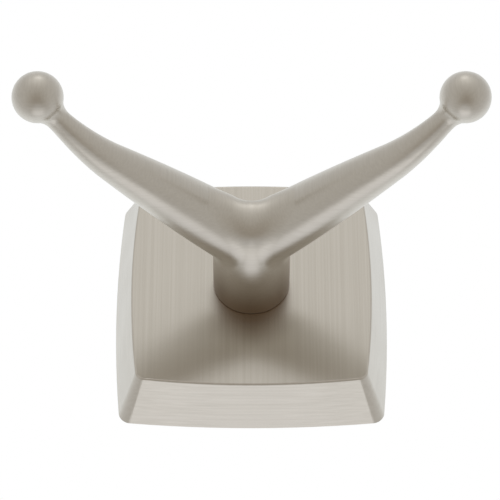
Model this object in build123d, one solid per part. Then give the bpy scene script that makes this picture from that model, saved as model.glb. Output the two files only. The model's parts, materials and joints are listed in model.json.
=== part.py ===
from build123d import *
from math import atan2, cos, pi, radians, sin, sqrt, tan
import os

# A double robe hook. The wall is the plane y = 0, +Z is up and the hook stands out along -Y.
# A depth is a distance out from the wall, and every size is in millimetres.

# Backplate: a hollow square casting with bowed sides that slope in towards a flat face
plate_width = 65.0            # across the middles of two opposite sides, at the wall
plate_bow_radius = 312.0      # of each bowed side, at the wall
plate_corner_radius = 3.0
face_width = 56.8             # the same three, around the face
face_bow_radius = 211.0
face_corner_radius = 2.2
plate_depth = 12.7
face_thickness = 2.6
wall_thickness = 2.4
face_edge_radius = 0.5
boss_diameter = 17.0          # round the post screw, behind the face
boss_height = 2.5

# Hook: a round post with a long rounded end, and two tapering arms that meet on its axis
post_diameter = 18.0
post_end_depth = 42.0
post_end_length = 16.0        # of the rounded end, which is half an ellipse
post_edge_radius = 0.5
middle_setback = 7.8          # from the post's end back to the oval section where the arms meet
middle_reach = 8.2            # half its size out from the wall
middle_rise = 7.3             # half its height
crossing_setback = 12.6       # from the post's end back to where the lines of the two arms cross
arm_sweep = 45.0              # between each arm and the wall
arm_root_radius = 7.3
ball_span = 93.6              # between the centres of the balls
ball_radius = 5.7
ball_lift = 6.0               # of a ball's centre above the post's axis
lift_start = 30.6             # sideways distance at which an arm starts to rise
neck_radius = 2.66
neck_setback = 5.0            # sideways distance from a ball's centre back to its neck
neck_blend_radius = 2.7
arm_blend_radius = 7.0        # where the arms run into the post
arm_stations = (0.27, 0.45, 0.62, 0.77, 0.89, 1.0)    # sections along an arm, as shares of its span
taper_start = 1.7             # powers that shape the taper: slow at the root,
taper_end = 1.15              # then quick, then level at the neck

# Key and screw between the post and the backplate
spigot_diameter = 10.0
spigot_flats = 8.0
spigot_length = 2.0
spigot_clearance = 0.1
post_screw_diameter = 5.0
post_screw_length = 14.0
post_hole_depth = 9.5         # of the threaded hole, beyond the face
thread_clearance = 0.05
shank_clearance = 0.25
head_diameter = 9.5
head_height = 3.0
head_edge_radius = 1.2
cross_span = 4.8
cross_width = 1.1
cross_depth = 1.8
washer_clearance = 0.15
flat_washer_diameter = 12.0
flat_washer_thickness = 1.0
lock_washer_diameter = 9.2
lock_washer_thickness = 1.2
lock_washer_gap = 0.8
lock_washer_slant = 25.0

# Wall bracket: a pressed strap with two flanges that lean away from each other
bracket_width = 34.0
bracket_margin = 10.5         # from its flanges to the backplate's edge, at the wall
bracket_height = plate_width - 2 * bracket_margin
bracket_thickness = 1.5
bracket_bend_radius = 1.0
bracket_corner_radius = 2.5
flange_length = 7.5
flange_lean = 12.0
wall_hole_diameter = 4.8
wall_hole_spacing = 28.0
centre_hole_diameter = 13.0

# Pads inside the backplate, over and under the flanges, and the grub screw in the upper one
pad_width = 12.0
pad_start = 1.2
pad_end = 8.2
pad_gap = 0.6                 # between the upper pad and its flange
set_screw_diameter = 4.0
set_screw_length = 6.0
set_screw_depth = 4.8
set_screw_point_radius = 0.9
set_screw_seat = 0.05
socket_size = 2.0             # across the flats
socket_depth = 2.5


def wall_plane(depth):
    """A plane parallel to the wall, facing out from it."""
    return Plane(origin=(0, -depth, 0), x_dir=(1, 0, 0), z_dir=(0, -1, 0))


# Seen from the side: local x is the depth and local y is the height
side_plane = Plane(origin=(0, 0, 0), x_dir=(0, -1, 0), z_dir=(-1, 0, 0))


def disc(diameter, start, end):
    """A round solid on the post's axis, from one depth to another."""
    return extrude(wall_plane(start) * Circle(diameter / 2), end - start)


def bar_from_side(points, width):
    """A solid of the given width with a straight-edged outline seen from the side."""
    return extrude(side_plane * make_face(Polyline(*points, close=True)), width / 2, both=True)


# Backplate

def bowed_square(width, bow_radius, corner_radius):
    """Where four large discs overlap, with its corners rounded."""
    shift = bow_radius - width / 2
    discs = [Pos(shift * cos(k * pi / 2), shift * sin(k * pi / 2)) * Circle(bow_radius) for k in range(4)]
    square = discs[0] & discs[1] & discs[2] & discs[3]
    return fillet(square.vertices(), corner_radius)


def plate_size(depth, at_wall, at_face):
    """A size that changes evenly from the wall to the face."""
    return at_wall + (at_face - at_wall) * depth / plate_depth


def plate_block(start, end, inset):
    """The backplate's outer form between two depths, made smaller all round by the inset."""
    sections = []
    for depth in (start, end):
        width = plate_size(depth, plate_width, face_width) - 2 * inset
        bow_radius = plate_size(depth, plate_bow_radius, face_bow_radius) - inset
        corner_radius = plate_size(depth, plate_corner_radius, face_corner_radius)
        sections.append(wall_plane(depth) * bowed_square(width, bow_radius, corner_radius))
    return loft(sections, ruled=True)


def flange_height(depth):
    """How far the outside of a bracket flange is from the post's axis."""
    return bracket_height / 2 + depth * tan(radians(flange_lean))


def pad(side, gap):
    """A pad from the upper (1) or lower (-1) wall to a gap from the bracket's flange."""
    points = []
    for depth in (pad_start, pad_end):
        points.append((depth, side * (flange_height(depth) + gap)))
    for depth in (pad_end, pad_start):
        in_wall = plate_size(depth, plate_width, face_width) / 2 - wall_thickness / 2
        points.append((depth, side * in_wall))
    return bar_from_side(points, pad_width)


def key_outline(clearance):
    """The round spigot with two flats that stops the post from turning."""
    flats = Rectangle(spigot_flats + 2 * clearance, spigot_diameter + 2 * clearance)
    return Circle(spigot_diameter / 2 + clearance) & flats


boss_depth = plate_depth - face_thickness - boss_height
set_screw_point = flange_height(set_screw_depth + set_screw_point_radius) + set_screw_seat


def make_backplate():
    plate = plate_block(0, plate_depth, 0)
    face = plate.faces().sort_by(Axis.Y)[0]
    plate = fillet(face.edges(), face_edge_radius)
    plate -= plate_block(0, plate_depth - face_thickness, wall_thickness)
    plate += disc(boss_diameter, boss_depth, plate_depth - face_thickness)
    plate += pad(1, pad_gap)
    plate += pad(-1, 0)
    key_floor = plate_depth - spigot_length - spigot_clearance
    plate -= extrude(wall_plane(key_floor) * key_outline(spigot_clearance), plate_depth - key_floor)
    plate -= disc(post_screw_diameter + 2 * shank_clearance, boss_depth, key_floor)
    screw_hole = Cylinder(set_screw_diameter / 2 + thread_clearance, plate_width / 2,
                          align=(Align.CENTER, Align.CENTER, Align.MIN))
    plate -= Pos(0, -set_screw_depth, bracket_height / 2) * screw_hole
    return plate


# Hook

def arm_point(x):
    """A point on the arms' centreline, at a sideways distance from the middle."""
    depth = post_end_depth - crossing_setback + tan(radians(arm_sweep)) * abs(x)
    rising = max(0, (abs(x) - lift_start) / (ball_span / 2 - lift_start))
    return Vector(x, -depth, ball_lift * rising ** 2)


neck_x = ball_span / 2 - neck_setback


def arm_radius(x):
    share = abs(x) / neck_x
    return neck_radius + (arm_root_radius - neck_radius) * (1 - share ** taper_start) ** taper_end


def arm_section(x):
    """A round section across an arm. The neck's faces the ball."""
    step = neck_setback if abs(x) == neck_x else neck_setback / 100
    outward = step if x > 0 else -step
    along = (arm_point(x + outward) - arm_point(x)) * (1 if x > 0 else -1)
    across = along.cross(Vector(0, 0, 1))
    return Plane(origin=arm_point(x), x_dir=across.cross(along), z_dir=along) * Circle(arm_radius(x))


def middle_section():
    """The oval where the arms meet, in the plane between them."""
    depth = post_end_depth - middle_setback
    between = Plane(origin=(0, -depth, 0), x_dir=(0, 0, 1), z_dir=(1, 0, 0))
    return between * Ellipse(middle_rise, middle_reach)


def make_arms():
    right = [arm_section(neck_x * share) for share in arm_stations]
    left = [arm_section(-neck_x * share) for share in reversed(arm_stations)]
    return loft(left + [middle_section()] + right)


def make_ball(side):
    """A ball on its neck, turned about the line from the neck to the ball's centre."""
    base = arm_point(side * neck_x)
    along = arm_point(side * ball_span / 2) - base
    centre = along.length
    blend_x = neck_radius + neck_blend_radius
    blend_y = centre - sqrt((ball_radius + neck_blend_radius) ** 2 - blend_x ** 2)
    blend_end = atan2(centre - blend_y, -blend_x)
    blend_middle = (pi + blend_end) / 2
    ball_start = blend_end - pi
    ball_middle = (ball_start + pi / 2) / 2
    blend_top = (blend_x + neck_blend_radius * cos(blend_end), blend_y + neck_blend_radius * sin(blend_end))
    blend_through = (blend_x + neck_blend_radius * cos(blend_middle),
                     blend_y + neck_blend_radius * sin(blend_middle))
    ball_through = (ball_radius * cos(ball_middle), centre + ball_radius * sin(ball_middle))
    outline = [
        Line((0, 0), (neck_radius, 0)),
        Line((neck_radius, 0), (neck_radius, blend_y)),
        ThreePointArc((neck_radius, blend_y), blend_through, blend_top),
        ThreePointArc(blend_top, ball_through, (0, centre + ball_radius)),
        Line((0, centre + ball_radius), (0, 0)),
    ]
    across = along.cross(Vector(0, 0, 1))
    half_section = Plane(origin=base, x_dir=across, z_dir=across.cross(along)) * make_face(outline)
    return revolve(half_section, Axis(base, along))


def make_post():
    """A cylinder standing on the backplate's face, with a long rounded end."""
    radius = post_diameter / 2
    end_start = post_end_depth - post_end_length
    post = disc(post_diameter, plate_depth, end_start)
    base_edge = post.edges().filter_by(GeomType.CIRCLE).sort_by(Axis.Y)[-1]
    post = fillet(base_edge, post_edge_radius)
    quarter = [
        EllipticalCenterArc((end_start, 0), post_end_length, radius, start_angle=0, arc_size=90),
        Line((end_start, radius), (end_start, 0)),
        Line((end_start, 0), (post_end_depth, 0)),
    ]
    return post + revolve(side_plane * make_face(quarter), Axis((0, 0, 0), (0, -1, 0)))


def make_hook():
    arms = make_arms() + make_ball(1) + make_ball(-1)
    hook = make_post() + arms
    joins = [edge for edge in hook.edges() if is_arm_join(edge)]
    hook = fillet(joins, arm_blend_radius)
    spigot_end = plate_depth - spigot_length
    hook += extrude(wall_plane(spigot_end) * key_outline(0), spigot_length)
    return hook - disc(post_screw_diameter + 2 * thread_clearance, spigot_end, plate_depth + post_hole_depth)


def is_arm_join(edge):
    """True for the closed curve where the arms come out of the post."""
    box = edge.bounding_box()
    on_axis = abs(box.center().X) < post_edge_radius
    return on_axis and post_diameter / 2 < box.size.X < post_diameter and edge.geom_type == GeomType.BSPLINE


# Screws and washers

def stack_depths():
    """Depths of the backs of the flat washer and of the lock washer, which is where the head starts."""
    washer = boss_depth - flat_washer_thickness
    head = washer - lock_washer_thickness
    return washer, head


def make_flat_washer():
    washer_start, _ = stack_depths()
    hole = disc(post_screw_diameter + 2 * washer_clearance, washer_start, boss_depth)
    return disc(flat_washer_diameter, washer_start, boss_depth) - hole


def make_lock_washer():
    """A spring washer, pressed flat, with a slanting cut through its ring."""
    end, start = stack_depths()
    ring = disc(lock_washer_diameter, start, end)
    ring -= disc(post_screw_diameter + 2 * washer_clearance, start, end)
    cut = Box(lock_washer_gap, 3 * lock_washer_thickness, lock_washer_diameter)
    return ring - Pos(0, -(start + end) / 2, -lock_washer_diameter / 2) * Rot(0, 0, lock_washer_slant) * cut


def make_post_screw():
    _, head_front = stack_depths()
    head_back = head_front - head_height
    head = disc(head_diameter, head_back, head_front)
    back_edge = head.edges().filter_by(GeomType.CIRCLE).sort_by(Axis.Y)[-1]
    head = fillet(back_edge, head_edge_radius)
    cross = Rectangle(cross_span, cross_width) + Rectangle(cross_width, cross_span)
    head -= extrude(wall_plane(head_back) * cross, cross_depth)
    return head + disc(post_screw_diameter, head_front, head_front + post_screw_length)


def make_set_screw():
    """A grub screw with a cone point, standing on the upper flange."""
    radius = set_screw_diameter / 2
    point = radius - set_screw_point_radius
    bottom = (Align.CENTER, Align.CENTER, Align.MIN)
    screw = Cone(set_screw_point_radius, radius, point, align=bottom)
    screw += Pos(0, 0, point) * Cylinder(radius, set_screw_length - point, align=bottom)
    socket = extrude(RegularPolygon(socket_size / 2, 6, major_radius=False), socket_depth)
    screw -= Pos(0, 0, set_screw_length - socket_depth) * socket
    return Pos(0, -set_screw_depth, set_screw_point) * screw


# Wall bracket

def flange_points(side):
    """The four corners of one flange seen from the side, from the web's back round to its front."""
    lean = radians(flange_lean)
    root = bracket_height / 2
    along = (cos(lean), sin(lean))
    inward = (sin(lean), -cos(lean))
    tip = (flange_length * along[0], root + flange_length * along[1])
    inner_tip = (tip[0] + bracket_thickness * inward[0], tip[1] + bracket_thickness * inward[1])
    run = bracket_thickness * (1 - sin(lean)) / cos(lean)
    inner_root = (bracket_thickness, root + bracket_thickness * inward[1] + run * along[1])
    return [(depth, side * height) for depth, height in ((0, root), tip, inner_tip, inner_root)]


def is_bend(edge, depth):
    """True for an edge where a flange leaves the web, at the given depth."""
    at_root = abs(abs(edge.center().Z) - bracket_height / 2) < bracket_thickness
    return at_root and abs(edge.center().Y + depth) < bracket_thickness / 4


def is_tip_corner(edge):
    """True for the short edge through the strap at each corner of a flange's tip."""
    return edge.length < 1.01 * bracket_thickness and -edge.center().Y > flange_length / 2


def make_wall_bracket():
    bracket = bar_from_side(flange_points(1) + flange_points(-1)[::-1], bracket_width)
    back_bends = [edge for edge in bracket.edges().filter_by(Axis.X) if is_bend(edge, 0)]
    bracket = fillet(back_bends, bracket_bend_radius + bracket_thickness)
    front_bends = [edge for edge in bracket.edges().filter_by(Axis.X) if is_bend(edge, bracket_thickness)]
    bracket = fillet(front_bends, bracket_bend_radius)
    bracket = fillet([edge for edge in bracket.edges() if is_tip_corner(edge)], bracket_corner_radius)
    bracket -= disc(centre_hole_diameter, 0, bracket_thickness)
    for height in (-wall_hole_spacing / 2, wall_hole_spacing / 2):
        bracket -= Pos(0, 0, height) * disc(wall_hole_diameter, 0, bracket_thickness)
    return bracket


def main():
    os.makedirs("parts", exist_ok=True)
    export_step(make_hook(), "parts/hook.step")
    export_step(make_backplate(), "parts/backplate.step")
    export_step(make_post_screw(), "parts/post_screw.step")
    export_step(make_flat_washer(), "parts/flat_washer.step")
    export_step(make_lock_washer(), "parts/lock_washer.step")
    export_step(make_wall_bracket(), "parts/wall_bracket.step")
    export_step(make_set_screw(), "parts/set_screw.step")


main()
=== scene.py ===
# %% [markdown]
# # A double robe hook in satin nickel
# The object is a small wall hook: a square backplate with gently bowed sides, a round post, and two
# tapering arms that spread in a V and end in balls. It is cast metal, plated with nickel and brushed.
# The solid pieces already exist with their real sizes, so this lesson is about looks: how to give cast
# and brushed metal a believable surface, and how to light metal, which shows mostly what is around it.

# %% Load the frame
import bpy
import numpy as np
from math import radians
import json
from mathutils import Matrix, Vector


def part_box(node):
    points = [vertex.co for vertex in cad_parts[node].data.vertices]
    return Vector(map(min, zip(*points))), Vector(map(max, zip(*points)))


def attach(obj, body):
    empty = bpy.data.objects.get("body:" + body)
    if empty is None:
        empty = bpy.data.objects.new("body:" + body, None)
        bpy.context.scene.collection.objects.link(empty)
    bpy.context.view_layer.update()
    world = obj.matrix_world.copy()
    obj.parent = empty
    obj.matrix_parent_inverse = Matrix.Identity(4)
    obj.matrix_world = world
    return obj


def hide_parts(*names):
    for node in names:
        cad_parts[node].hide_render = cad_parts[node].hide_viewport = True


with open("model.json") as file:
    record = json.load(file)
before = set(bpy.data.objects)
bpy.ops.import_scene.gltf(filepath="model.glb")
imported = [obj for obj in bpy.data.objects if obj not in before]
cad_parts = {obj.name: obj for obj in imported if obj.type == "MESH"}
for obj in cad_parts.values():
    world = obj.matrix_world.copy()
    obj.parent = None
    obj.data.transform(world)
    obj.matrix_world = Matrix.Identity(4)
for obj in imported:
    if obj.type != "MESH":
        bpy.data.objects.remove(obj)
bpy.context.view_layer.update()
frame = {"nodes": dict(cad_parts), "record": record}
print("solid pieces:", sorted(frame["nodes"]))

# %% [markdown]
# ## Sizes to work from
# Everything here is in metres, with the wall at y = 0, +Z up and the hook standing out along -Y.
# The sizes could be typed in again, but a number that is written twice goes wrong once. So they are
# read from the solids where they can be, and the looks follow if a solid changes.

# %% Read the main sizes
MM = 0.001
plate_low, plate_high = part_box("backplate")
plate_depth = -plate_low.y
print(f"backplate: {1000 * (plate_high.x - plate_low.x):.1f} mm wide, {1000 * plate_depth:.1f} mm deep")

# %% [markdown]
# ## A finer skin for the hook
# The hook is one casting: a round post with a long rounded end, two arms that meet on its axis, and a
# ball on each arm's neck. Polished metal is the hardest test for a mesh, because every small flat
# shows up as a kink in a highlight. So the shown hook is not the solid's own triangles. It could be a
# few tubes under a subdivision surface, but those pinch where three tubes meet, or metaballs, but
# those swell there. It is an even grid of small faces instead, with each corner of it placed exactly
# on a formula for the surface.
#
# The formula is a distance: below zero inside the metal, zero on its skin, above zero in the air.
# An arm is the space swept by a ball that rolls along a line and shrinks as it goes. Seen from above
# the line is straight, at 45 degrees to the wall, and its outer third curves up to the end ball. Three
# short functions give the distances and the outward directions of the arms, the balls and the post.
# They work on whole arrays of points at once and in millimetres, with depth counted out of the wall.

# %% The arms' centreline and taper
POST_RADIUS = 9.0
POST_END_START = 23.0
POST_END_LENGTH = 19.0
POST_EDGE_RADIUS = 0.5
ARM_CROSSING = 29.4
ARM_ROOT_RADIUS = 7.3
NECK_RADIUS = 2.66
NECK_SETBACK = 5.0
TAPER_START = 1.7
TAPER_END = 1.15
BALL_X = 46.8
BALL_RADIUS = 5.7
BALL_LIFT = 6.0
LIFT_START = 30.6
NECK_BLEND = 2.7
CROTCH_BLEND = 7.5
ARM_BLEND = 7.0


def centreline(across):
    """Points on the arms' centreline at sideways distances from the middle."""
    depth = ARM_CROSSING + np.abs(across)
    rising = np.clip((np.abs(across) - LIFT_START) / (BALL_X - LIFT_START), 0, None)
    return np.stack([across, -depth, BALL_LIFT * rising ** 2], axis=-1)


def arm_radius(across):
    share = np.clip(np.abs(across) / (BALL_X - NECK_SETBACK), 0, 1)
    return NECK_RADIUS + (ARM_ROOT_RADIUS - NECK_RADIUS) * (1 - share ** TAPER_START) ** TAPER_END


ball_centre = centreline(np.array(BALL_X))
print("ball centre, in mm:", ball_centre.round(1))

# %% [markdown]
# The arms, the balls and the post each get a function. For an arm, the nearest rolling ball could be
# found by a slow search for each point. It is found in two quick steps instead: first the nearest of
# a hundred places along the line, then a small correction from a parabola through that place and its
# two neighbours. Without the correction the arm would have a hundred faint rings.

# %% Distances and directions of the three forms
steps = np.linspace(0, BALL_X, 100)
step_points = centreline(steps)
step_radii = arm_radius(steps)


def unit(vectors):
    return vectors / np.maximum(np.linalg.norm(vectors, axis=-1, keepdims=True), 1e-9)


def from_arm(points):
    gaps = np.linalg.norm(points[:, None, :] - step_points[None], axis=2) - step_radii
    nearest = np.clip(gaps.argmin(axis=1), 1, len(steps) - 2)
    row = np.arange(len(points))
    before, here, after = gaps[row, nearest - 1], gaps[row, nearest], gaps[row, nearest + 1]
    shift = np.clip(0.5 * (before - after) / np.maximum(before - 2 * here + after, 1e-9), -1, 1)
    across = np.minimum(steps[nearest] + shift * (steps[1] - steps[0]), BALL_X)
    outward = points - centreline(across)
    return np.linalg.norm(outward, axis=1) - arm_radius(across), unit(outward)


def from_ball(points):
    outward = points - ball_centre
    return np.linalg.norm(outward, axis=1) - BALL_RADIUS, unit(outward)


def from_post(points):
    """A cylinder up to where the rounded end starts, then half an ellipse turned about the axis."""
    past = np.maximum(-points[:, 1] - POST_END_START, 0)
    steep = np.stack([
        points[:, 0] / POST_RADIUS ** 2, -past / POST_END_LENGTH ** 2, points[:, 2] / POST_RADIUS ** 2
    ], axis=1)
    level = (points[:, 0] ** 2 + points[:, 2] ** 2) / POST_RADIUS ** 2 + past ** 2 / POST_END_LENGTH ** 2 - 1
    return level / (2 * np.maximum(np.linalg.norm(steep, axis=1), 1e-9)), unit(steep)


print("places along an arm:", len(steps))

# %% [markdown]
# Where two forms meet, a casting has a soft corner, as if a ball had been rolled along it. The ball's
# centre is one radius away from both surfaces, so its place follows from the two distances and the
# angle between the two directions, and the corner's own direction is a mix of the two.
#
# The hook is the same on both sides, so each point is folded to the right side and compared with the
# right arm, its ball and, once more, with the left arm. Three soft corners join them: a small one at
# the ball's neck, a wide one in the crotch between the arms, and a wide one where the arms leave the
# post. Turned inside out, the same function rounds an outer edge, here the one at the post's foot.

# %% The rolling-ball corner and the whole hook
NEARLY_LEVEL = 0.9995


def blend_corner(first, second, radius):
    """The union of two forms, each a pair of distances and directions, with a rounded inner corner."""
    (gap_a, way_a), (gap_b, way_b) = first, second
    lean = (way_a * way_b).sum(axis=1)
    pull_a = (radius - gap_a) - lean * (radius - gap_b)
    pull_b = (radius - gap_b) - lean * (radius - gap_a)
    spread = np.maximum(1 - lean ** 2, 1e-6)
    to_surface = (pull_a[:, None] * way_a + pull_b[:, None] * way_b) / spread[:, None]
    size = np.linalg.norm(to_surface, axis=1)
    crossing = lean < NEARLY_LEVEL
    rounded = (pull_a > 0) & (pull_b > 0) & (gap_a < radius) & (gap_b < radius) & crossing
    nearer = gap_a < gap_b
    gap = np.where(rounded, radius - size, np.where(nearer, gap_a, gap_b))
    way = np.where(nearer[:, None], way_a, way_b)
    return gap, np.where(rounded[:, None], unit(to_surface), way)


def from_hook(points):
    flip = np.array([-1.0, 1.0, 1.0])
    side = np.where(points[:, :1] < 0, flip, 1.0)
    folded = points * side
    near_arm = blend_corner(from_arm(folded), from_ball(folded), NECK_BLEND)
    gap, way = from_arm(folded * flip)
    both_arms = blend_corner(near_arm, (gap, way * flip), CROTCH_BLEND)
    gap, way = blend_corner(both_arms, from_post(folded), ARM_BLEND)
    foot = (points[:, 1] + 1000 * plate_depth, np.tile([0.0, 1.0, 0.0], (len(points), 1)))
    gap, way = blend_corner((-gap, -way), (-foot[0], -foot[1]), POST_EDGE_RADIUS)
    return -gap, -way * side


tips = np.array([[BALL_X, ball_centre[1], BALL_LIFT + BALL_RADIUS], [0, -20, -POST_RADIUS]])
print("distances at the top of a ball and under the post:", from_hook(tips)[0].round(4))

# %% [markdown]
# The even grid comes from Blender's voxel remesh. Its input only has to be roughly right, so it is a
# string of balls along the arms and a plain post, all in one mesh. A boolean union of clean tubes
# would do as well, but it is slower and fails more easily, and its long thin faces shade badly.

# %% Build the hook's skin
import bmesh
from mathutils import Matrix

VOXEL = 0.36
ROUGH_BALLS = 79
rough = bmesh.new()
for across in np.linspace(-BALL_X, BALL_X, ROUGH_BALLS):
    x, y, z = centreline(np.array(across))
    bmesh.ops.create_icosphere(
        rough, subdivisions=3, radius=float(arm_radius(across)), matrix=Matrix.Translation((x, y, z))
    )
for side in (-1, 1):
    x, y, z = ball_centre
    bmesh.ops.create_icosphere(
        rough, subdivisions=4, radius=BALL_RADIUS, matrix=Matrix.Translation((side * x, y, z))
    )
post_length = POST_END_START - 1000 * plate_depth
along_y = Matrix.Rotation(radians(90), 4, "X")
middle = Matrix.Translation((0, -1000 * plate_depth - post_length / 2, 0))
bmesh.ops.create_cone(
    rough, cap_ends=True, segments=96, radius1=POST_RADIUS, radius2=POST_RADIUS, depth=post_length,
    matrix=middle @ along_y,
)
stretch = Matrix.Diagonal((POST_RADIUS, POST_END_LENGTH, POST_RADIUS, 1))
bmesh.ops.create_icosphere(
    rough, subdivisions=4, radius=1.0, matrix=Matrix.Translation((0, -POST_END_START, 0)) @ stretch
)
past_foot = [v for v in rough.verts if -v.co.y < 1000 * plate_depth]
for vertex in past_foot:
    vertex.co.y = -1000 * plate_depth
skin_mesh = bpy.data.meshes.new("hook_skin")
rough.to_mesh(skin_mesh)
rough.free()
skin = bpy.data.objects.new("hook_skin", skin_mesh)
bpy.context.scene.collection.objects.link(skin)
bpy.context.view_layer.objects.active = skin
skin.select_set(True)
skin_mesh.remesh_voxel_size = VOXEL
skin_mesh.remesh_voxel_adaptivity = 0.0
bpy.ops.object.voxel_remesh()
print("faces after the remesh:", len(skin_mesh.polygons))

# %% [markdown]
# The remeshed skin is even but lumpy, and smoothing it would shrink the necks. So each corner moves
# along its outward direction by its distance, a few times over, and lands on the formula. The
# directions are then stored as the mesh's own normals, so the shading is exact too.

# %% Move each corner onto the surface
ROUNDS = 6
places = np.empty(3 * len(skin_mesh.vertices))
skin_mesh.vertices.foreach_get("co", places)
places = places.reshape(-1, 3)
for _ in range(ROUNDS):
    gap, way = from_hook(places)
    places -= gap[:, None] * way
gap, way = from_hook(places)
skin_mesh.vertices.foreach_set("co", (places * MM).ravel())
skin_mesh.shade_smooth()
skin_mesh.normals_split_custom_set_from_vertices(way)
skin_mesh.update()
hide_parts("hook")
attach(skin, "root")
print("largest distance left, in mm:", float(np.abs(gap).max()))

# %% [markdown]
# ## A small kit for materials
# A material is a graph of nodes. Building one by hand takes a line or two for each node, so a few
# helpers keep the cells short. One adds a node and fills in its plain values, one links two sockets,
# one mixes two values or colours, and one starts a shader node group, which is a reusable piece of
# graph with named sockets.

# %% Helpers for node graphs
def add_node(tree, kind, label, **values):
    """Adds a node and sets its input sockets by name, with spaces written as underscores."""
    node = tree.nodes.new(kind)
    node.label = label
    for name, value in values.items():
        node.inputs[name.replace("_", " ")].default_value = value
    return node


def link(tree, source, target):
    tree.links.new(source, target)


def mixed(tree, kind, factor, first, second, label, how="MIX"):
    """Goes from the first to the second as the factor goes from 0 to 1. Each is a socket or a value."""
    mix = tree.nodes.new("ShaderNodeMix")
    mix.data_type = kind
    mix.blend_type = how
    mix.label = label
    for name, given in (("Factor", factor), ("A", first), ("B", second)):
        if isinstance(given, bpy.types.NodeSocket):
            link(tree, given, mix.inputs[name])
        else:
            mix.inputs[name].default_value = given
    return mix.outputs["Result"]


def start_group(name, inputs, outputs):
    """Makes a shader node group. Inputs are {name: (socket type, default)}, outputs {name: type}."""
    group = bpy.data.node_groups.new(name, "ShaderNodeTree")
    for socket, (kind, default) in inputs.items():
        made = group.interface.new_socket(name=socket, in_out="INPUT", socket_type=kind)
        made.default_value = default
    for socket, kind in outputs.items():
        group.interface.new_socket(name=socket, in_out="OUTPUT", socket_type=kind)
    return group, group.nodes.new("NodeGroupInput"), group.nodes.new("NodeGroupOutput")


print("helpers ready")

# %% [markdown]
# ## Brushed grain
# Brushing leaves thousands of fine parallel scratches. They could come from a picture of brushed
# metal, but that has an end, a seam and a fixed sharpness. A noise texture stretched hard along one
# direction looks just like them and has none of these: its coordinates are scaled up across the
# scratches and left almost alone along them. On the real plate the face is brushed up and down, and
# its top and bottom walls from side to side, so the grain also needs to know which way a surface
# faces.

# %% Scratches, and which way the surface faces
TURN_START = 0.62
TURN_END = 0.74


def stretched_noise(tree, place, across, along, axis, detail):
    """Noise with many changes across the scratches and few along them; axis is the way they run."""
    scale = tree.nodes.new("ShaderNodeCombineXYZ")
    scale.label = f"scratches along {axis}"
    for name in "XYZ":
        if name == axis:
            scale.inputs[name].default_value = along
        else:
            link(tree, across, scale.inputs[name])
    spread = add_node(tree, "ShaderNodeVectorMath", "stretch")
    spread.operation = "MULTIPLY"
    link(tree, place, spread.inputs[0])
    link(tree, scale.outputs[0], spread.inputs[1])
    noise = add_node(tree, "ShaderNodeTexNoise", "scratches", Scale=1.0, Detail=detail, Roughness=0.6)
    link(tree, spread.outputs[0], noise.inputs["Vector"])
    return noise.outputs["Fac"]


def facing(tree, axis):
    """1 where the surface faces along the axis, 0 elsewhere, with a short change between."""
    geometry = tree.nodes.new("ShaderNodeNewGeometry")
    parts = tree.nodes.new("ShaderNodeSeparateXYZ")
    link(tree, geometry.outputs["Normal"], parts.inputs[0])
    size = tree.nodes.new("ShaderNodeMath")
    size.operation = "ABSOLUTE"
    link(tree, parts.outputs[axis], size.inputs[0])
    step = add_node(tree, "ShaderNodeMapRange", f"faces {axis}", From_Min=TURN_START, From_Max=TURN_END)
    link(tree, size.outputs[0], step.inputs["Value"])
    return step.outputs["Result"]


print("scratches and facing ready")

# %% [markdown]
# Both kinds of nickel use the grain, so it is a node group, built once and placed in each material.
# One layer of scratches would look like ruled paper, so there are two, one fine and one coarser. The
# group puts out their sum as a height and the coarser layer alone as streaks of colour.

# %% Node group: brushed grain
FLOAT = "NodeSocketFloat"
grain, grain_in, grain_out = start_group(
    "Brushed grain",
    {"Fine lines per m": (FLOAT, 5600.0), "Coarse lines per m": (FLOAT, 2100.0)},
    {"Height": FLOAT, "Streaks": FLOAT},
)
coords = grain.nodes.new("ShaderNodeTexCoord").outputs["Object"]
faces_up = facing(grain, "Z")
layers = []
for socket, along, detail in (("Fine lines per m", 40.0, 2.0), ("Coarse lines per m", 14.0, 3.0)):
    upright = stretched_noise(grain, coords, grain_in.outputs[socket], along, "Z", detail)
    level = stretched_noise(grain, coords, grain_in.outputs[socket], along, "X", detail)
    layers.append(mixed(grain, "FLOAT", faces_up, upright, level, "upright or level"))
height = grain.nodes.new("ShaderNodeMath")
height.operation = "ADD"
link(grain, layers[0], height.inputs[0])
link(grain, layers[1], height.inputs[1])
link(grain, height.outputs[0], grain_out.inputs["Height"])
link(grain, layers[1], grain_out.inputs["Streaks"])
print("group sockets:", [s.name for s in grain.interface.items_tree])

# %% [markdown]
# ## Handling marks
# No metal that people touch is perfectly even. Broad, faint patches of slightly different
# roughness, from polishing and from fingers, make a highlight look like it lies on a real surface.
# Painted smudges would draw the eye to themselves, so the patches are plain soft noise. The group
# puts out one value around 0.5, which each material turns into its own small change.

# %% Node group: soft patches
patches, patches_in, patches_out = start_group(
    "Soft patches", {"Patches per m": (FLOAT, 60.0)}, {"Value": FLOAT}
)
patch_noise = add_node(patches, "ShaderNodeTexNoise", "patches", Detail=3.0, Roughness=0.45)
link(patches, patches.nodes.new("ShaderNodeTexCoord").outputs["Object"], patch_noise.inputs["Vector"])
link(patches, patches_in.outputs["Patches per m"], patch_noise.inputs["Scale"])
link(patches, patch_noise.outputs["Fac"], patches_out.inputs["Value"])
print("group sockets:", [s.name for s in patches.interface.items_tree])
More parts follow.
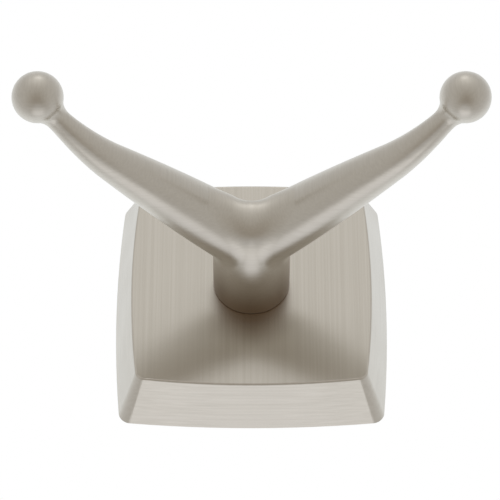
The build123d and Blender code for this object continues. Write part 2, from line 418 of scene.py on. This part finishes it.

# %% [markdown]
# ## Painted shade at the root
# The foot of the post sits in a deep corner against the plate, where light bounces between the two
# metals many times and comes out dark and brown. That shade is painted into the colour here. The
# colour could be painted on the mesh, but paint is lost when the mesh changes. So it goes by place:
# this group gives 1 at the foot, which lies a known distance out of the wall, and falls to 0 where
# the arms begin. The material decides what the value changes.

# %% Node group: painted shade at the root of the post
ROOT_LENGTH = 18 * MM
# This group is the mask of the painted shade at the foot of the post: 1 at the foot, 0 where the shade ends.
root, root_in, root_out = start_group(
    "Post root",
    {"Foot m": (FLOAT, plate_depth), "Shade ends m": (FLOAT, plate_depth + ROOT_LENGTH)},
    {"Mask": FLOAT},
)
root_parts = root.nodes.new("ShaderNodeSeparateXYZ")
link(root, root.nodes.new("ShaderNodeTexCoord").outputs["Object"], root_parts.inputs[0])
outward = add_node(root, "ShaderNodeMath", "out of the wall")
outward.operation = "MULTIPLY"
outward.inputs[1].default_value = -1.0
link(root, root_parts.outputs["Y"], outward.inputs[0])
fade = add_node(root, "ShaderNodeMapRange", "fade", To_Min=1.0, To_Max=0.0)
fade.interpolation_type = "SMOOTHSTEP"
link(root, outward.outputs[0], fade.inputs["Value"])
link(root, root_in.outputs["Foot m"], fade.inputs["From Min"])
link(root, root_in.outputs["Shade ends m"], fade.inputs["From Max"])
link(root, fade.outputs["Result"], root_out.inputs["Mask"])
print("group sockets:", [s.name for s in root.interface.items_tree])

# %% [markdown]
# ## Satin nickel
# Nickel is a slightly warm, greyish white metal. It could be a grey paint with a shiny coat, but a
# metal has no colour of its own beneath its shine, so that would look like plastic. Metallic is 1
# instead, and the base colour is the colour of its reflections. A few helpers come first, for what
# every metal here needs: a start, a changing value and a bump.

# %% Helpers for materials
def group_node(tree, group, **values):
    node = tree.nodes.new("ShaderNodeGroup")
    node.node_tree = group
    for name, value in values.items():
        node.inputs[name.replace("_", " ")].default_value = value
    return node


def ranged(tree, source, low, high, label, start=0.25, end=0.75):
    """Turns a noise value, which stays near the middle, into a change between two values."""
    node = add_node(tree, "ShaderNodeMapRange", label, From_Min=start, From_Max=end, To_Min=low, To_Max=high)
    link(tree, source, node.inputs["Value"])
    return node.outputs["Result"]


def start_metal(name):
    """A new metal, with its graph and its shader."""
    material = bpy.data.materials.new(name)
    material.use_nodes = True
    shader = material.node_tree.nodes["Principled BSDF"]
    shader.inputs["Metallic"].default_value = 1.0
    return material, material.node_tree, shader


def add_bump(tree, shader, height_source, strength, distance, label):
    bump = add_node(tree, "ShaderNodeBump", label, Strength=strength, Distance=distance)
    link(tree, height_source, bump.inputs["Height"])
    link(tree, bump.outputs["Normal"], shader.inputs["Normal"])


print("material helpers ready")

# %% [markdown]
# The roughness is low enough to show dark and light bands from the room, and high enough to blur
# their edges. The streaks are a little lighter than the ground. The hook is polished soft, with
# hardly any lines. The plate is brushed, which also stretches its highlights across the lines: that
# is what Anisotropic does. Both come from one function with different strengths.

# %% Material: satin nickel
NICKEL = (0.635, 0.60, 0.54, 1.0)
NICKEL_STREAK = (0.68, 0.645, 0.585, 1.0)
# The next colour is painted shade: the dark brown of the deep corner at the foot of the post.
ROOT_PAINTED_SHADE = (0.23, 0.165, 0.11, 1.0)


def nickel(name, rough_low, rough_high, line_height, anisotropy, painted_root_shade=False):
    material, tree, shader = start_metal(name)
    shader.inputs["Anisotropic"].default_value = anisotropy
    lines = group_node(tree, grain)
    soft = group_node(tree, patches, Patches_per_m=70.0)
    streak = ranged(tree, lines.outputs["Streaks"], 0.0, 1.0, "streak colour", 0.35, 0.65)
    colour = mixed(tree, "RGBA", streak, NICKEL, NICKEL_STREAK, "streaked nickel")
    # Painted shade: towards the foot of the post the colour turns dark brown, standing in for the dark light
    # bounced between post and plate.
    if painted_root_shade:
        mask = group_node(tree, root).outputs["Mask"]
        colour = mixed(tree, "RGBA", mask, colour, ROOT_PAINTED_SHADE, "darker root")
    link(tree, colour, shader.inputs["Base Color"])
    rough = ranged(tree, soft.outputs["Value"], rough_low, rough_high, "soft roughness")
    link(tree, rough, shader.inputs["Roughness"])
    add_bump(tree, shader, lines.outputs["Height"], 1.0, line_height, "brush lines")
    return material


hook_nickel = nickel(
    "hook_nickel", rough_low=0.29, rough_high=0.35, line_height=0.0009 * MM, anisotropy=0.0, painted_root_shade=True
)
plate_nickel = nickel(
    "plate_nickel", rough_low=0.21, rough_high=0.27, line_height=0.0025 * MM, anisotropy=0.7
)
print("nickel materials:", hook_nickel.name, plate_nickel.name)

# %% [markdown]
# ## Steel for the hidden pieces
# The pressed bracket, the screw and the flat washer are zinc plated: cooler and bluer than nickel, with
# a mottled sheen. The lock washer and the set screw are dark hardened steel. Nobody sees them once the
# hook is up, and one flat grey would do from the front, but a part seen from behind should still be
# made of something. Both are the same function, since only their colours and their patches differ.

# %% Materials: zinc and dark steel
def mottled_steel(name, dark, light, rough_low, rough_high, patches_per_m):
    material, tree, shader = start_metal(name)
    soft = group_node(tree, patches, Patches_per_m=patches_per_m).outputs["Value"]
    mottle = ranged(tree, soft, 0.0, 1.0, "mottled colour")
    link(tree, mixed(tree, "RGBA", mottle, dark, light, "mottled steel"), shader.inputs["Base Color"])
    link(tree, ranged(tree, soft, rough_low, rough_high, "roughness"), shader.inputs["Roughness"])
    add_bump(tree, shader, soft, 0.5, 0.01 * MM, "rolled skin")
    return material


zinc = mottled_steel(
    "zinc_plating", dark=(0.48, 0.50, 0.53, 1), light=(0.68, 0.70, 0.72, 1),
    rough_low=0.24, rough_high=0.40, patches_per_m=400.0,
)
dark_steel = mottled_steel(
    "dark_steel", dark=(0.08, 0.08, 0.085, 1), light=(0.14, 0.14, 0.145, 1),
    rough_low=0.30, rough_high=0.45, patches_per_m=600.0,
)
print("steel materials:", zinc.name, dark_steel.name)

# %% [markdown]
# ## Dress the solid pieces
# Each solid keeps its own mesh and gets the material of its slot. The hook's solid is replaced by its
# finer skin, which gets the same material as the solid would.

# %% Give each piece its material
finishes = {
    "hook_metal": hook_nickel,
    "plate_metal": plate_nickel,
    "plated_steel": zinc,
    "spring_steel": dark_steel,
}
slot_of = {part["node"]: part["material_slot"] for part in frame["record"]["subparts"]}
for name, piece in frame["nodes"].items():
    piece.data.materials.clear()
    piece.data.materials.append(finishes[slot_of[name]])
    print(name, "->", finishes[slot_of[name]].name)
skin_mesh.materials.append(finishes["hook_metal"])

# %% [markdown]
# ## Soft ramps of tones
# Metal mirrors its surroundings, so their tones shape its light and dark. They could be a picture of
# a real studio, but a picture can't be tuned in one direction alone. The floor and the room are
# painted with ramps instead: a value from 0 to 1 goes in and a colour comes out, with soft steps
# between the tones.

# %% A helper for ramps
def soft_ramp(tree, source, tones):
    """Tones are pairs of a place from 0 to 1 and a colour, in order."""
    node = tree.nodes.new("ShaderNodeValToRGB")
    ramp = node.color_ramp
    ramp.interpolation = "B_SPLINE"
    ramp.elements.remove(ramp.elements[-1])
    ramp.elements[0].position = tones[0][0]
    ramp.elements[0].color = (*tones[0][1], 1.0)
    for place, colour in tones[1:]:
        ramp.elements.new(place).color = (*colour, 1.0)
    link(tree, source, node.inputs["Fac"])
    return node.outputs["Color"]


print("ramp helper ready")

# %% [markdown]
# ## A floor far below
# The hook is shown in the air, as if on an invisible wall, because a real wall would hide its back in
# the views from behind. A pale oval floor lies well below it. It is kept small on purpose: a floor
# without an end would be mirrored in every surface that leans forward and down, and wash out the dark
# bands that give polished metal its depth. To the camera it is white, like the background, with a
# little of an ordinary matt surface mixed in, which takes a shadow. In mirror images it is grey at
# the front, brightest in the middle and softer behind, as a lit sheet of paper on a table would be.
# The middle is what lights up the underside of the V.

# %% The floor's glow
FLOOR_RADIUS = 0.45
FLOOR_TONES = (
    (0.00, (0.46, 0.455, 0.45)),
    (0.33, (0.50, 0.495, 0.49)),
    (0.47, (1.0, 1.0, 1.0)),
    (0.62, (0.80, 0.80, 0.82)),
    (1.00, (0.80, 0.80, 0.82)),
)
MIRRORED_GAIN = (1.2, 1.2, 1.2)
PURE_WHITE = (1.0, 1.0, 1.0, 1.0)
paper = bpy.data.materials.new("floor_paper")
paper.use_nodes = True
tree = paper.node_tree
path = tree.nodes.new("ShaderNodeLightPath")
parts = tree.nodes.new("ShaderNodeSeparateXYZ")
link(tree, tree.nodes.new("ShaderNodeTexCoord").outputs["Object"], parts.inputs[0])
from_front = add_node(
    tree, "ShaderNodeMapRange", "front to back", From_Min=-FLOOR_RADIUS, From_Max=FLOOR_RADIUS
)
link(tree, parts.outputs["Y"], from_front.inputs["Value"])
lifted = add_node(tree, "ShaderNodeVectorMath", "a little brighter")
lifted.operation = "MULTIPLY"
lifted.inputs[1].default_value = MIRRORED_GAIN
link(tree, soft_ramp(tree, from_front.outputs["Result"], FLOOR_TONES), lifted.inputs[0])
glow = add_node(tree, "ShaderNodeEmission", "glow", Strength=1.0)
glow_colour = mixed(
    tree, "RGBA", path.outputs["Is Camera Ray"], lifted.outputs[0], PURE_WHITE, "white to the camera"
)
link(tree, glow_colour, glow.inputs["Color"])
print("floor tones:", len(FLOOR_TONES))

# %% [markdown]
# A floor that only glows would take no shadow, and a floor that is only matt would look grey instead
# of white. So the two are mixed: mostly glow for the camera and for mirror images, and plain matt
# paper for all other light.

# %% Mix in matt paper and lay the floor
GLOW_SHARE = 0.88
FLOOR_LEVEL = -0.62
FLOOR_BEHIND = 0.12
FLOOR_NARROWING = 0.55
matt = tree.nodes["Principled BSDF"]
matt.inputs["Base Color"].default_value = (0.9, 0.9, 0.9, 1)
matt.inputs["Roughness"].default_value = 0.9
seen = tree.nodes.new("ShaderNodeMath")
seen.operation = "MAXIMUM"
link(tree, path.outputs["Is Camera Ray"], seen.inputs[0])
link(tree, path.outputs["Is Glossy Ray"], seen.inputs[1])
share = add_node(tree, "ShaderNodeMapRange", "share of glow", To_Max=GLOW_SHARE)
link(tree, seen.outputs[0], share.inputs["Value"])
blend = tree.nodes.new("ShaderNodeMixShader")
link(tree, share.outputs["Result"], blend.inputs["Fac"])
link(tree, matt.outputs[0], blend.inputs[1])
link(tree, glow.outputs[0], blend.inputs[2])
link(tree, blend.outputs[0], tree.nodes["Material Output"].inputs["Surface"])
bpy.ops.mesh.primitive_circle_add(
    vertices=128, radius=FLOOR_RADIUS, fill_type="NGON", location=(0, FLOOR_BEHIND, FLOOR_LEVEL)
)
floor = bpy.context.object
floor.name = "floor"
floor.scale.x = FLOOR_NARROWING
floor.data.materials.append(paper)
print("floor at", FLOOR_LEVEL)

# %% [markdown]
# ## The room around the metal
# A studio for metal has large white sheets, some grey ones and a dark side. It could be built from
# glowing sheets around the hook, but their edges would show in the balls. Here the world itself has
# three ramps, each on how far a direction leans towards one end of the room, from -1 for away from it
# to 1 for straight at it. The walls are bright behind the hook and grey where it faces. A dimmer
# stands for the unlit end in front and below, where a studio has its camera, and a soft window in
# front and above is what the plate's face mirrors.

# %% The tones of the room
BRIGHT_END = (0.0, 0.96, 0.28)
ROOM_TONES = (
    (-1.00, (0.53, 0.51, 0.48)),
    (-0.40, (0.57, 0.555, 0.53)),
    (0.00, (0.58, 0.57, 0.555)),
    (0.30, (0.64, 0.635, 0.63)),
    (0.65, (0.88, 0.90, 0.91)),
    (1.00, (0.98, 1.01, 1.03)),
)
UNLIT_END = (0.0, -0.62, -0.78)
UNLIT_TONES = ((0.60, (1.0, 1.0, 1.0)), (0.86, (0.86, 0.84, 0.81)), (1.00, (0.66, 0.61, 0.55)))
WINDOW = (0.0, -0.67, 0.74)
WINDOW_TONES = (
    (0.60, (0.0, 0.0, 0.0)),
    (0.80, (0.05, 0.05, 0.05)),
    (0.92, (0.13, 0.13, 0.13)),
    (0.98, (0.26, 0.265, 0.27)),
)
print("tones:", len(ROOM_TONES), len(UNLIT_TONES), len(WINDOW_TONES))

# %% [markdown]
# The walls are multiplied by the dimmer, and the window is added. Camera rays see plain white
# instead of the room, which gives the clean background without a sheet behind the hook.

# %% Build the world
world = bpy.data.worlds.new("studio")
bpy.context.scene.world = world
world.use_nodes = True
sky = world.node_tree
sky.nodes.clear()
direction = sky.nodes.new("ShaderNodeTexCoord").outputs["Generated"]


def toned_by_lean(axis, tones, label):
    """A colour that depends on how far a direction leans towards an axis."""
    lean = add_node(sky, "ShaderNodeVectorMath", f"lean to the {label}")
    lean.operation = "DOT_PRODUCT"
    link(sky, direction, lean.inputs[0])
    lean.inputs[1].default_value = axis
    share = add_node(sky, "ShaderNodeMapRange", "0 to 1", From_Min=-1.0, From_Max=1.0)
    link(sky, lean.outputs["Value"], share.inputs["Value"])
    places = [((lean_value + 1) / 2, colour) for lean_value, colour in tones]
    return soft_ramp(sky, share.outputs["Result"], places)


walls = toned_by_lean(BRIGHT_END, ROOM_TONES, "bright end")
dimmer = toned_by_lean(UNLIT_END, UNLIT_TONES, "unlit end")
window = toned_by_lean(WINDOW, WINDOW_TONES, "window")
dimmed = mixed(sky, "RGBA", 1.0, walls, dimmer, "dim the unlit end", "MULTIPLY")
lit = mixed(sky, "RGBA", 1.0, dimmed, window, "add the window", "ADD")
room = add_node(sky, "ShaderNodeBackground", "room", Strength=1.0)
link(sky, lit, room.inputs["Color"])
backdrop = add_node(sky, "ShaderNodeBackground", "white backdrop", Color=PURE_WHITE, Strength=1.0)
choose = sky.nodes.new("ShaderNodeMixShader")
link(sky, sky.nodes.new("ShaderNodeLightPath").outputs["Is Camera Ray"], choose.inputs["Fac"])
link(sky, room.outputs[0], choose.inputs[1])
link(sky, backdrop.outputs[0], choose.inputs[2])
link(sky, choose.outputs[0], sky.nodes.new("ShaderNodeOutputWorld").inputs["Surface"])
print("nodes in the world:", len(sky.nodes))

# %% [markdown]
# ## One soft lamp
# A single large, weak lamp above and in front adds a gentle highlight to the tops of the arms and the
# crotch. A small lamp would make a hard white dot there. Its size matters more than its power: a big
# lamp makes a broad highlight with soft edges.

# %% Place the lamp
lamp_direction = np.array([0.0, -0.57, 0.82])
lamp_distance = 0.9
lamp = bpy.data.lights.new("soft_lamp", "AREA")
lamp.shape = "DISK"
lamp.size = 0.30
lamp.energy = 0.10
lamp_object = bpy.data.objects.new("soft_lamp", lamp)
lamp_object.location = lamp_direction * lamp_distance
lamp_object.rotation_euler = (-np.arctan2(lamp_direction[1], lamp_direction[2]), 0, 0)
bpy.context.scene.collection.objects.link(lamp_object)
print("lamp at", [round(float(v), 3) for v in lamp_object.location])

# %% [markdown]
# ## The camera
# The hook is seen from in front and from below, so that the undersides of the arms show and the V of
# the arms opens upwards. A close camera would show as much, but the balls, which stick out most,
# would look much larger than the plate. So the camera is far away and has a long lens.

# %% Place the camera
CAMERA_PLACE = (-0.35 * MM, -533.9 * MM, -352.8 * MM)
CAMERA_BELOW = 34.8
SENSOR_WIDTH = 36.0
LENS_LENGTH = 5.31 * SENSOR_WIDTH
camera_data = bpy.data.cameras.new("camera")
camera = bpy.data.objects.new("camera", camera_data)
bpy.context.scene.collection.objects.link(camera)
camera.location = CAMERA_PLACE
camera.rotation_euler = (radians(90 + CAMERA_BELOW), 0, 0)
camera_data.sensor_width = SENSOR_WIDTH
camera_data.lens = LENS_LENGTH
camera_data.clip_start = 0.01
bpy.context.scene.camera = camera
bpy.context.scene.view_settings.view_transform = "Standard"
print("lens", round(camera_data.lens, 1), "mm")

# %% [markdown]
# ## Finish

# %% Finish
import json
